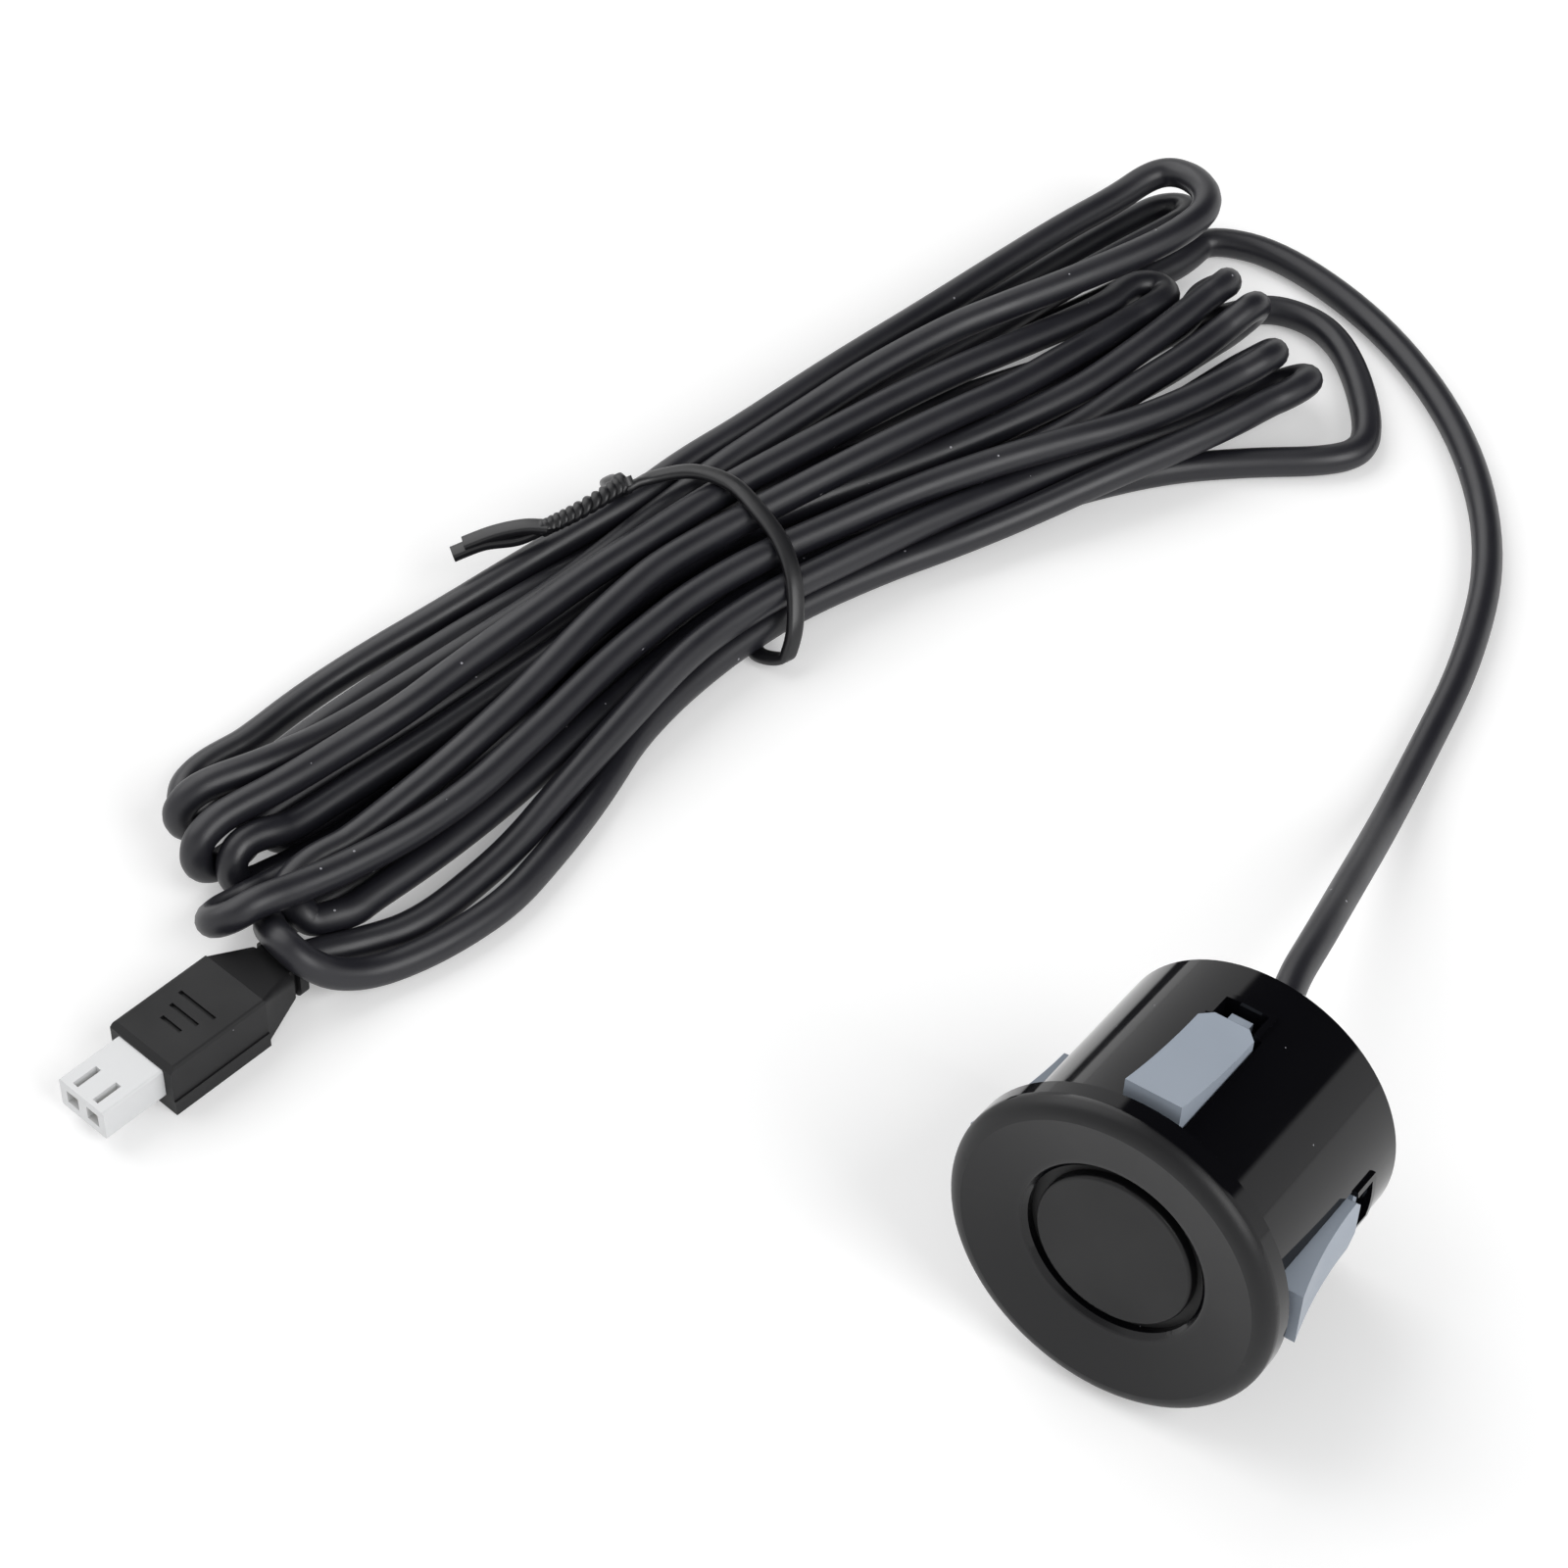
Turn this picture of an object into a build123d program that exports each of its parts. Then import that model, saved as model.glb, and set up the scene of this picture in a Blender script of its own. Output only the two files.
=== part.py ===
from build123d import *
import math
import os

os.makedirs("parts", exist_ok=True)

# Parking sensor lying on a table, with its lead, tied hank and plug. Millimetres, +Z up.
# The sensor's face looks to -Y and its barrel runs to +Y. The floor is z = 0.
# Inside the sensor's own frame z runs from the face to the rear and y points up.

# sensor head
barrel_r = 10.75          # goes through a 22 mm panel hole
barrel_len = 19.6         # face to rear rim
wall = 1.2
rear_chamfer = 0.3
bezel_edge = 1.5          # bezel beyond the barrel
bezel_r = barrel_r + bezel_edge
bezel_back = 2.7          # panel side of the bezel
rim_round = 1.3
dish = 1.0                # the face slopes in to the opening by this much
opening_r = 6.6
lip_round = 0.35
collar_step = 0.45        # segmented collar that centres the sensor in its hole
collar_r = barrel_r + collar_step
collar_end = 3.4
inner_floor = 3.3         # thickness of the front wall, from the face
boss_wall = 0.8
boss_r = opening_r + boss_wall
boss_end = 10.5

# transducer
ring_t = 0.75             # soft ring between the cup and the opening
cup_r = opening_r - ring_t
cup_recess = 0.12         # cup face behind the edge of the opening
cup_len = 8.0
cup_wall = 0.6
cup_front = 0.7
ring_recess = 0.95        # depth of the black groove round the cup
ring_end = 9.5
piezo_r = 4.0
piezo_t = 0.5
pad_t = 2.0
board_t = 0.8
board_r = boss_r - 0.2
wire_r = 0.2

# retaining clips, one every 90 degrees, and their pockets
clip_w = 4.2
clip_front = 3.4
clip_len = 10.2
lip_proud = 0.35          # the flared front lip, just outside the bezel
lip_r = bezel_r + lip_proud
clip_proud = 0.45         # the clip's rear edge beyond the barrel
clip_rear_r = barrel_r + clip_proud
clip_depth = 2.15
clip_base_r = barrel_r - clip_depth
pocket_w = 4.5
pocket_gap = 0.15         # pocket behind the clip's rear edge
window_w = 3.2            # the narrower window behind the clip, with the hook tab in it
window_end = 15.7
pocket_floor_r = clip_base_r - 0.3
pocket_wall = 1.0
frame_w = 0.45
frame_h = 0.25
tab_w = 1.6

# lead
cable_d = 2.4
cable_r = cable_d / 2
conductor_r = 0.3
jacket_start = 14.0       # where the jacket starts inside the potting
potting_end = 18.9

# plug, measured along its own axis from the front of its overmould
plug_at = (-67.85, -26.2)
plug_yaw = 81.0
plug_w = 6.4
plug_h = 4.64
plug_len = 8.8
plug_step_h = 1.35
plug_step = 0.12
taper_end = 12.2
tail_end = 13.5
tail_w = 4.6
tail_low = 0.85
tail_high = 3.75
neck_w = 3.4
neck_dip = 0.12
neck_len = 0.55
white_w = 4.7
white_low = 1.3
white_h = 2.7
white_out = 5.4           # how far the white housing stands out
white_in = 2.6
way_pitch = 2.1
way_w = 1.2
slot_w = 0.55
slot_len = 2.1

# hank
hank_at = (-60.26, 41.29)
hank_turn = 20.46         # from +Y towards +X
tie_at = -3.2
tie_t = 0.95
tie_w = 1.1


def export(shape, name):
    export_step(shape, f"parts/{name}.step")


def disc(radius, z0, z1):
    """A plain disc or rod about the local z axis."""
    return Pos(0, 0, z0) * Cylinder(radius, z1 - z0, align=(Align.CENTER, Align.CENTER, Align.MIN))


def block(x, y0, y1, z0, z1):
    """A box that is x wide, from y0 to y1 and z0 to z1."""
    return Pos(0, (y0 + y1) / 2, (z0 + z1) / 2) * Box(x, y1 - y0, z1 - z0)


def turned(shape, angle):
    """The shape turned about the sensor's axis; 90 is the right side in the front view."""
    return Rot(0, 0, angle) * shape


def sector(r0, r1, z0, z1, a0, a1):
    """A stretch of ring between two angles, counted from straight up."""
    ring = disc(r1, z0, z1) - disc(r0, z0 - 1, z1 + 1)
    mid = math.radians((a0 + a1) / 2)
    half = math.radians((a1 - a0) / 2)
    reach = 2 * r1
    corners = [(0, 0)]
    for a in (mid - half, mid, mid + half):
        corners.append((reach * math.sin(a), reach * math.cos(a)))
    wedge = extrude(make_face(Polyline(*corners, close=True)), z1 - z0)
    return ring & (Pos(0, 0, z0) * wedge)


# The sensor rests on the lip of its lower clip and on its rear rim.
rear_edge = barrel_len - rear_chamfer
tilt = math.degrees(math.atan((lip_r - barrel_r) / (rear_edge - clip_front)))
drop = math.radians(tilt)

# housing: bezel, barrel and inner boss as one turned solid
face = make_face(
    Polyline(
        (opening_r, 0, dish + lip_round),
        (opening_r + lip_round, 0, dish),
        (bezel_r - rim_round, 0, 0),
    )
    + ThreePointArc(
        (bezel_r - rim_round, 0, 0),
        (bezel_r - rim_round * (1 - math.sin(math.radians(45))), 0,
         rim_round * (1 - math.cos(math.radians(45)))),
        (bezel_r, 0, rim_round),
    )
    + Polyline(
        (bezel_r, 0, rim_round),
        (bezel_r, 0, bezel_back - 0.2),
        (bezel_r - 0.2, 0, bezel_back),
        (barrel_r, 0, bezel_back),
        (barrel_r, 0, rear_edge),
        (barrel_r - rear_chamfer, 0, barrel_len),
        (barrel_r - wall, 0, barrel_len),
        (barrel_r - wall, 0, inner_floor),
        (boss_r, 0, inner_floor),
        (boss_r, 0, boss_end),
        (opening_r, 0, boss_end),
        (opening_r, 0, dish + lip_round),
    )
)
housing = revolve(face, Axis.Z)
lip_edges = housing.edges().filter_by(GeomType.CIRCLE).filter_by(
    lambda e: abs(e.radius - opening_r - lip_round) < 0.01 and e.center().Z < 2
)
housing = fillet(lip_edges, 0.3)

# the collar, open at each clip and beside it
for quarter in range(4):
    turn = 90 * quarter
    for a0, a1 in ((-22, 6), (15, 41), (47, 60)):
        housing += sector(barrel_r - 0.3, collar_r, bezel_back - 0.2, collar_end, turn + a0, turn + a1)

# clip pockets, each with a raised frame round the window behind the clip
clip_rear = clip_front + clip_len
pocket_end = clip_rear + pocket_gap
frame_end = window_end + frame_w
pocket_box = block(pocket_w + 2 * pocket_wall, boss_r - 0.1, barrel_r - wall + 0.3,
                   inner_floor - 0.2, window_end + pocket_wall)
shell = disc(barrel_r - wall + 0.1, 0, barrel_len)
pocket_cut = block(pocket_w, pocket_floor_r, bezel_r, clip_front - 0.25, pocket_end)
pocket_cut += block(window_w, pocket_floor_r, bezel_r, pocket_end - 0.1, window_end)
frame = block(window_w + 2 * frame_w, barrel_r - 0.6, bezel_r, pocket_end, frame_end)
frame = frame & disc(barrel_r + frame_h, 0, barrel_len)
for quarter in range(4):
    housing += turned(pocket_box & shell, 90 * quarter)
    housing += turned(frame, 90 * quarter)
for quarter in range(4):
    housing -= turned(pocket_cut, 90 * quarter)

# transducer cup, ring, disc and damping pad
cup_face = dish + cup_recess
cup_end = cup_face + cup_len
cup = disc(cup_r, cup_face, cup_end) - disc(cup_r - cup_wall, cup_face + cup_front, cup_end + 1)
front_edge = cup.edges().filter_by(GeomType.CIRCLE).sort_by(Axis.Z)[0]
cup = fillet(front_edge, 0.25)
ring = disc(opening_r, dish + ring_recess, ring_end) - disc(cup_r, 0, barrel_len)
ring += disc(opening_r, cup_end, ring_end) - disc(cup_r - cup_wall, 0, barrel_len)
piezo_z = cup_face + cup_front
piezo = disc(piezo_r, piezo_z, piezo_z + piezo_t)
damping = disc(cup_r - cup_wall, piezo_z + piezo_t, piezo_z + piezo_t + pad_t)

# wires from the disc and the cup to the board
signal_wire = Pos(1.5, 0, 0) * disc(wire_r, piezo_z + piezo_t, boss_end)
ground_wire = Pos(-(cup_r - cup_wall - 0.55), 0, 0) * disc(wire_r, piezo_z, boss_end)
damping -= signal_wire
damping -= ground_wire
board = disc(board_r, boss_end, boss_end + board_t)
for side in (-1, 1):
    board -= Pos(side * 0.6, 3.4, 0) * disc(0.45, boss_end - 1, boss_end + 2)

# conductors and jacket end inside the head
core_wire = Pos(0.6, 0, 0) * disc(conductor_r, boss_end + board_t, jacket_start)
shield_wire = Pos(-0.6, 0, 0) * disc(conductor_r, boss_end + board_t, jacket_start)
jacket_stub = disc(cable_r, jacket_start, barrel_len)

# potting fills the cup behind the pad, the boss and the barrel to just below the rim
potting = disc(barrel_r - wall, boss_end, potting_end)
potting += disc(opening_r, ring_end, boss_end + 0.1)
potting += disc(cup_r - cup_wall, piezo_z + piezo_t + pad_t, boss_end + 0.1)
potting += disc(barrel_r - wall, inner_floor, boss_end + 0.1) - disc(boss_r, 0, boss_end)
potting -= housing
for quarter in range(4):
    potting -= turned(pocket_cut, 90 * quarter)
for piece in (signal_wire, ground_wire, board, core_wire, shield_wire, jacket_stub):
    potting -= piece

# one clip: a wedge with a concave outer face, a hook tab behind it and chamfered rear corners
profile = make_face(
    Polyline(
        (0, clip_rear_r, clip_rear),
        (0, clip_base_r, clip_rear),
        (0, clip_base_r, clip_front),
        (0, lip_r, clip_front),
    )
    + ThreePointArc(
        (0, lip_r, clip_front),
        (0, clip_rear_r + 0.25 * (lip_r - clip_rear_r), clip_front + 0.5 * clip_len),
        (0, clip_rear_r, clip_rear),
    )
)
clip = extrude(profile, clip_w / 2, both=True)
rear_corners = clip.edges().filter_by(Axis.Y).sort_by(Axis.Z)[-2:]
clip = chamfer(rear_corners, 0.8)
clip_root = block(clip_w - 0.8, pocket_floor_r, clip_base_r + 0.2, clip_front, clip_rear - 1)
tab = block(tab_w, clip_base_r + 0.3, clip_base_r + 1.1, clip_rear - 0.5, window_end - 0.5)
tab_hook = block(tab_w, clip_base_r + 0.3, clip_base_r + 1.6, window_end - 1.1, window_end - 0.5)
clip = clip + clip_root + tab + tab_hook

# place the head: lowest point on the floor, middle of its length over the origin
head_plane = Plane(origin=(0, 0, 0), x_dir=(-1, 0, 0), z_dir=(0, math.cos(drop), -math.sin(drop)))
clips = [turned(clip, 90 * quarter) for quarter in range(4)]
box = Compound([head_plane.location * housing] + [head_plane.location * c for c in clips]).bounding_box()
head = Pos(0, -(box.min.Y + box.max.Y) / 2, -box.min.Z) * head_plane.location

export(head * housing, "housing")
export(head * cup, "transducer_cup")
export(head * ring, "isolation_ring")
export(head * piezo, "piezo_disc")
export(head * damping, "damping_pad")
export(head * signal_wire, "signal_wire")
export(head * ground_wire, "ground_wire")
export(head * board, "terminal_board")
export(head * potting, "potting")
export(head * core_wire, "core_wire")
export(head * shield_wire, "shield_wire")
for name, piece in zip(("top", "left", "bottom", "right"), clips):
    export(head * piece, f"clip_{name}")


# hank: one solid that follows the bundle, waisted at the tie and fanned out at both ends
def hank_point(along, across, height):
    """Hank coordinates to the part's frame."""
    turn = math.radians(hank_turn)
    x = hank_at[0] + along * math.sin(turn) + across * math.cos(turn)
    y = hank_at[1] + along * math.cos(turn) - across * math.sin(turn)
    return (x, y, height)


def hank_section(along, left, right, top_left, top_right, base, top):
    """A low rounded section of the bundle, as a face."""
    shoulder = base + 0.45 * (top - base)
    cut = 0.35 * cable_d
    corners = [
        (left + cut, base), (right - cut, base), (right, base + cut), (right, shoulder),
        (top_right + cut, top - 0.25 * cut), (top_right - cut, top),
        (top_left + cut, top), (top_left - cut, top - 0.25 * cut), (left, shoulder), (left, base + cut),
    ]
    return make_face(Polyline([hank_point(along, a, z) for a, z in corners], close=True))


stations = [
    (-57.2, -2.0, 9.0, 0.5, 7.0, 2.6, 5.6),
    (-54.0, -5.5, 10.2, -1.5, 8.5, 0.0, 6.7),
    (-51.9, -7.4, 11.0, -2.3, 9.5, 0.0, 6.7),
    (-50.8, -8.2, 16.0, -2.6, 11.0, 0.0, 6.7),
    (-42.0, -11.4, 19.1, -3.5, 13.0, 0.0, 6.8),
    (-30.0, -12.2, 16.4, -4.5, 11.5, 0.0, 6.8),
    (-15.0, -12.6, 10.6, -7.6, 6.5, 0.4, 7.2),
    (tie_at, -13.2, 5.7, -10.2, 0.6, 1.0, 7.9),
    (12.0, -13.4, 6.2, -10.2, 1.0, 0.4, 7.6),
    (28.0, -15.6, 9.4, -12.5, 4.5, 0.0, 8.0),
    (40.0, -18.0, 13.8, -15.5, 7.5, 0.0, 8.8),
    (46.0, -18.4, 16.2, -15.0, 7.5, 0.0, 8.6),
    (50.0, -17.2, 12.0, -13.5, 5.0, 0.0, 7.6),
    (53.4, -12.5, 7.5, -10.0, 2.5, 0.0, 5.0),
]
hank = loft([hank_section(*station) for station in stations], ruled=True)
export(hank, "cable_hank")

# lead: straight runs joined by tangent arcs, from inside the head to the hank
axis_start = (head * Pos(0, 0, jacket_start)).position
axis_out = (head * Pos(0, 0, barrel_len + 3.6)).position
lead_points = [
    tuple(axis_start),
    tuple(axis_out),
    (-2.3, 23.0, 8.4),
    (-5.6, 32.0, 4.6),
    (-8.3, 40.8, 1.7),
    (-10.7, 51.0, cable_r),
    (-13.1, 62.0, cable_r),
    (-17.4, 73.4, cable_r),
    (-25.2, 83.6, cable_r),
    (-35.8, 91.7, cable_r),
    (-47.6, 95.7, cable_r),
    (-57.6, 91.5, cable_r),
]


def bend_radii(points, name):
    """Radius at each inner corner: 0.45 of the shorter run, over tan of half the turn."""
    radii = []
    for a, b, c in zip(points, points[1:], points[2:]):
        first = Vector(b) - Vector(a)
        second = Vector(c) - Vector(b)
        half = math.radians(first.get_angle(second)) / 2
        radii.append(0.45 * min(first.length, second.length) / math.tan(half))
    print(name, "radii in cable diameters", [round(r / cable_d, 1) for r in radii])
    return radii


def tube(points, name):
    """A round cable along the points, with its volume compared to section times length."""
    path = FilletPolyline(*points, radius=bend_radii(points, name))
    start = Plane(origin=path @ 0, z_dir=path % 0)
    solid = sweep(start * Circle(cable_r), path)
    print(name, "length", round(path.length, 1), "volume ratio",
          round(solid.volume / (math.pi * cable_r ** 2 * path.length), 4))
    return solid


lead = tube(lead_points, "lead_cable") - hank
export(lead, "lead_cable")

# twist tie: a band round the waist of the hank, a twisted stretch and two free tails
waist = [s for s in stations if s[0] == tie_at][0]
grown = (waist[0] - tie_w / 2, waist[1] - tie_t, waist[2] + tie_t, waist[3] - tie_t * 0.7,
         waist[4] + tie_t * 0.7, waist[5] - tie_t, waist[6] + tie_t)
band_dir = Vector(*hank_point(1, 0, 0)) - Vector(*hank_point(0, 0, 0))
band = extrude(hank_section(*grown), tie_w, dir=band_dir)
strand_r = 0.36
twist_z = waist[6] + 0.3
twist_a = Vector(*hank_point(-8.4, -9.9, twist_z))
twist_b = Vector(*hank_point(-16.6, -9.4, twist_z - 1.2))
twist_len = (twist_b - twist_a).length
twist_plane = Plane(origin=twist_a, z_dir=twist_b - twist_a)
turns = 6
twisted = []
for phase in (0, 180):
    helix = Helix(pitch=twist_len / turns, height=twist_len, radius=strand_r * 0.85)
    section = Plane(origin=helix @ 0, z_dir=helix % 0) * Circle(strand_r)
    twisted.append(twist_plane.location * Rot(0, 0, phase) * sweep(section, helix, is_frenet=True))
tails = []
for end in (hank_point(-21.4, -12.8, twist_z - 2.2), hank_point(-22.8, -11.8, twist_z - 2.8)):
    tail_dir = Vector(*end) - twist_b
    tail_plane = Plane(origin=twist_b - tail_dir.normalized() * 0.6, z_dir=tail_dir)
    tails.append(extrude(tail_plane * RectangleRounded(1.5, 0.7, 0.3), tail_dir.length + 0.6))
lead_ins = []
for start in (hank_point(tie_at, -12.6, twist_z - 0.6), hank_point(tie_at, -9.6, twist_z + 0.1)):
    run = twist_a - Vector(*start)
    lead_ins.append(Plane(origin=Vector(*start), z_dir=run) * disc(0.42, 0, run.length + 0.3))
tie = band
for piece in lead_ins + twisted + tails:
    tie += piece
tie -= hank
export(tie, "twist_tie")

# plug: its own frame has x from the mating end to the cable, z up
plug = Pos(plug_at[0], plug_at[1], 0) * Rot(0, 0, plug_yaw)


def span(x0, x1, width, z0, z1, y=0.0):
    """A box along the plug's axis."""
    return Pos((x0 + x1) / 2, y, (z0 + z1) / 2) * Box(x1 - x0, width, z1 - z0)


body = span(0, plug_len, plug_w, 0, plug_h)
front_top = body.edges().filter_by(Axis.Y).group_by(Axis.X)[0].sort_by(Axis.Z)[-1]
body = chamfer(front_top, 0.45)
body = fillet(body.edges().filter_by(Axis.X).group_by(Axis.Z)[-1], 0.3)
body += span(0, plug_len, plug_w + 2 * plug_step, 0, plug_step_h)
rear_face = Plane(origin=(plug_len, 0, plug_h / 2), x_dir=(0, 1, 0), z_dir=(1, 0, 0))
tail_mid = (tail_low + tail_high) / 2
tail_face = Plane(origin=(taper_end, 0, tail_mid), x_dir=(0, 1, 0), z_dir=(1, 0, 0))
tail_section = tail_face * RectangleRounded(tail_w, tail_high - tail_low, 0.8)
taper = loft([rear_face * RectangleRounded(plug_w - 0.1, plug_h - 0.1, 0.3), tail_section])
neck = span(taper_end - 0.1, tail_end - 0.2, neck_w, tail_low + neck_dip, tail_high - neck_dip)
collar = extrude(Pos(neck_len, 0, 0) * tail_section, tail_end - taper_end - neck_len)
overmould = body + taper + neck + collar
rib_x = 2.9
rib_half = 1.0
for rib in range(3):
    overmould -= span(rib_x - 0.16, rib_x + 0.16, 2 * rib_half, plug_h - 0.25, plug_h + 1)
    rib_x += 1.2
    rib_half += 0.42
white = span(-white_out, white_in, white_w, white_low, white_low + white_h)
white = fillet(white.edges().filter_by(Axis.X), 0.2)
jacket_end = plug_len + 0.2
plug_cable_z = tail_mid
overmould -= white
overmould -= Pos(jacket_end, 0, plug_cable_z) * Rot(0, 90, 0) * disc(cable_r, 0, 10)

way_z = white_low + white_h / 2
contacts = []
wires = []
for side in (-1, 1):
    y = side * way_pitch / 2
    white -= span(-white_out - 1, white_in + 1, way_w, way_z - way_w / 2, way_z + way_w / 2, y)
    white -= span(-white_out + 0.4, -white_out + 0.4 + slot_len, slot_w, way_z, plug_h, y)
    contact = span(-white_out + 0.5, white_in, way_w, way_z - way_w / 2, way_z + way_w / 2, y)
    contact -= span(-white_out - 1, -0.4, way_w - 0.4, way_z - way_w / 2 + 0.2, way_z + way_w / 2 - 0.2, y)
    contacts.append(contact)
    in_cable = side * 0.55
    wire_path = Polyline((white_in, y, way_z), (white_in + 1.6, y, way_z),
                         (jacket_end - 1.6, in_cable, plug_cable_z), (jacket_end, in_cable, plug_cable_z))
    wire = sweep(Plane(origin=wire_path @ 0, z_dir=(1, 0, 0)) * Circle(conductor_r), wire_path,
                 transition=Transition.ROUND)
    wires.append(wire)
    overmould -= wire

export(plug * overmould, "plug_overmould")
export(plug * white, "plug_housing")
for name, piece in zip(("signal", "ground"), contacts):
    export(plug * piece, f"contact_{name}")
for name, piece in zip(("core", "shield"), wires):
    export(plug * piece, f"plug_{name}_wire")

# the lead's last stretch, from inside the plug to the hank
last_start = (plug * Pos(jacket_end, 0, plug_cable_z)).position
last_out = (plug * Pos(tail_end + 1.8, 0, plug_cable_z)).position
last_in = (plug * Pos(tail_end + 5.5, 0.2, plug_cable_z - 0.6)).position
last = tube([tuple(last_start), tuple(last_out), tuple(last_in)], "plug_cable") - hank
export(last, "plug_cable")
print("tilt", round(tilt, 2), "hank volume", round(hank.volume, 0))
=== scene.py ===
import math
import bpy
import numpy as np
from mathutils import Matrix, Vector


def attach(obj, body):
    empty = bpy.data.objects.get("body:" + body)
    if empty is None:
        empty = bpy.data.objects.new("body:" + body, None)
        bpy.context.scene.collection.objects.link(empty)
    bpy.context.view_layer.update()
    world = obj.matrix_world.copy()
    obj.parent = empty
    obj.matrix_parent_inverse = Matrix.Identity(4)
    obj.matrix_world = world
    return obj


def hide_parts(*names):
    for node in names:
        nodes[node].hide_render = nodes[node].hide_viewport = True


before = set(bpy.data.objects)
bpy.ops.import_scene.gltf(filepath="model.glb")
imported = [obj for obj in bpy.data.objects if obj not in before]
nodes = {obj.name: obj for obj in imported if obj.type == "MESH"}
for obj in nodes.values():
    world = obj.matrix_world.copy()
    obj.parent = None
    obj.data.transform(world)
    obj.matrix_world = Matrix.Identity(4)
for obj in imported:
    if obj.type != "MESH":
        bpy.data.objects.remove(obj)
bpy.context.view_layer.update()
MM = 0.001

# Parking sensor on a white table: head in front, lead behind it, tied hank and plug to the left.
# Lengths are in millimetres until they reach Blender, which takes metres.


# camera: 108 mm lens on a 36 mm frame, fitted to the rim, the barrel and the plug of the photographed sensor
eye = Vector((89.0, -174.22, 253.46)) * MM
look = Vector((-0.392, 0.5658, -0.7254)).normalized()
right = Vector((0.822, 0.5695, 0.0)).normalized()
up = right.cross(look)
lens = bpy.data.cameras.new("table_view")
lens.lens = 108
lens.sensor_width = 36
lens.clip_start = 0.01
camera = bpy.data.objects.new("table_view", lens)
camera.matrix_world = Matrix.Translation(eye) @ Matrix((right, up, -look)).transposed().to_4x4()
bpy.context.scene.collection.objects.link(camera)
bpy.context.scene.camera = camera
bpy.context.scene.view_settings.view_transform = "Standard"


# cord: one length of 2.4 mm cable from the sensor through 17 runs of the hank to the plug
CABLE_D = 2.4
# the hank's middle under the tie, and the way its runs point, turned from the y axis
HANK_AT = np.array([-60.26, 41.29])
HANK_TURN = math.radians(20.46)
ALONG = np.array([math.sin(HANK_TURN), math.cos(HANK_TURN)])
ACROSS = np.array([math.cos(HANK_TURN), -math.sin(HANK_TURN)])

# the free lead, from inside the sensor's rear to the far end of the hank
LEAD = [
    (0, 4.205, 11.29), (-0.5, 12.2, 10.55), (-3.2, 19.4, 10.1), (-4.35, 26, 8.7), (-5.7, 32, 6.7),
    (-7.1, 38.2, 4.5), (-8.5, 44, 2.3), (-10, 51.4, 1.2), (-12, 62.7, 1.2), (-16.2, 74.3, 1.2),
    (-24.4, 84.6, 1.2), (-35.6, 92.2, 1.2), (-47.6, 95.7, 1.2),
]
# from the end of the lead into the first run
ENTRY = [(51.6, -12.6, 1.2), (48.4, -11.4, 1.2)]
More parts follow.
